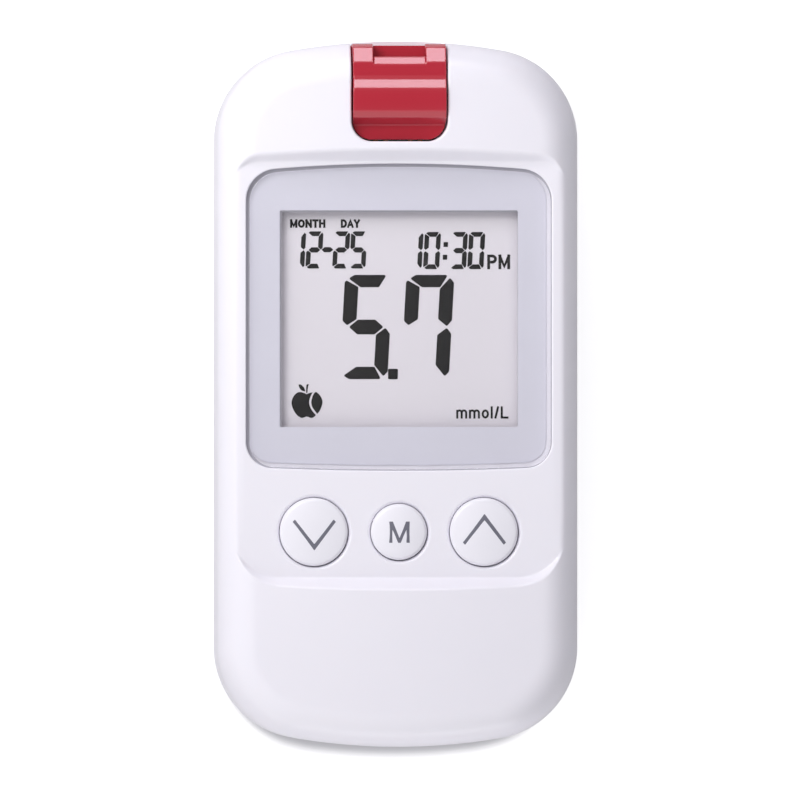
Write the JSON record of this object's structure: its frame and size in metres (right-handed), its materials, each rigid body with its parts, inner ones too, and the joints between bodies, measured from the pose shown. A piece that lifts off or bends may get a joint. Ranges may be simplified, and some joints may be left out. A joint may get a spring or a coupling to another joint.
{
  "type": "blood glucose meter",
  "caption": "Handheld blood glucose meter: two-shell case, display behind a clear lens, three push buttons, sliding strip ejector and hinged battery door.",
  "frame": {"origin": "middle of the case on the plane that its back rests on", "axes": "+X to the right of the display, +Y towards the strip port, +Z out of the display"},
  "size_m": [0.047, 0.092, 0.0215],
  "materials": {
    "case_white": "high gloss moulded",
    "cap_white": "satin gloss moulded",
    "clear_lens": "polished clear acrylic",
    "silver_mask": "silver print",
    "display_glass": "polished",
    "display_reflector": "pale grey reflector film",
    "black_frame": "moulded",
    "black_rubber": "moulded",
    "switch_black": "moulded",
    "plunger_grey": "moulded",
    "ejector_red": "gloss moulded",
    "carriage_white": "moulded",
    "gold_contact": "gold plated",
    "spring_steel": "drawn wire",
    "board_green": "solder resist",
    "chip_black": "moulded epoxy",
    "cell_jacket": "printed jacket, no lettering",
    "terminal_nickel": "nickel plated",
    "screw_steel": "zinc plated"
  },
  "bodies": {
    "case": {"front_cover": "case_white", "rear_cover": "case_white", "display_lens": "clear_lens", "lens_mask": "silver_mask", "lcd_glass": "display_glass", "lcd_reflector": "display_reflector", "lcd_holder": "black_frame", "zebra_strip": "black_rubber", "down_switch": "switch_black", "memory_switch": "switch_black", "up_switch": "switch_black", "strip_guide": "ejector_red", "strip_connector": "black_frame", "strip_contacts": "gold_contact", "ejector_spring": "spring_steel", "main_board": "board_green", "microcontroller": "chip_black", "piezo_buzzer": "chip_black", "smd_parts": "chip_black", "battery_left": "cell_jacket", "battery_right": "cell_jacket", "positive_terminal": "terminal_nickel", "negative_terminal": "terminal_nickel", "bridge_contact": "terminal_nickel", "case_screws": "screw_steel", "board_screws": "screw_steel"},
    "down_button": {"down_button": "cap_white", "down_plunger": "plunger_grey"},
    "memory_button": {"memory_button": "cap_white", "memory_plunger": "plunger_grey"},
    "up_button": {"up_button": "cap_white", "up_plunger": "plunger_grey"},
    "ejector": {"eject_slider": "ejector_red", "strip_pusher": "carriage_white"},
    "door": {"battery_door": "case_white"}
  },
  "joints": [
    {"name": "down_press", "type": "slide", "parent": "case", "child": "down_button", "axis": [0, 0, -1], "range_m": [0, 0.0004], "stiffness_N_per_m": 900, "springref_m": -0.0004},
    {"name": "memory_press", "type": "slide", "parent": "case", "child": "memory_button", "axis": [0, 0, -1], "range_m": [0, 0.0004], "stiffness_N_per_m": 900, "springref_m": -0.0004},
    {"name": "up_press", "type": "slide", "parent": "case", "child": "up_button", "axis": [0, 0, -1], "range_m": [0, 0.0004], "stiffness_N_per_m": 900, "springref_m": -0.0004},
    {"name": "eject_slide", "type": "slide", "parent": "case", "child": "ejector", "axis": [0, 1, 0], "range_m": [0, 0.004], "stiffness_N_per_m": 250, "springref_m": -0.003, "deforming": ["ejector_spring"]},
    {"name": "door_hinge", "type": "hinge", "parent": "case", "child": "door", "pos_m": [0, -0.037, 0.0016], "axis": [-1, 0, 0], "range_deg": [0, 95]}
  ]
}
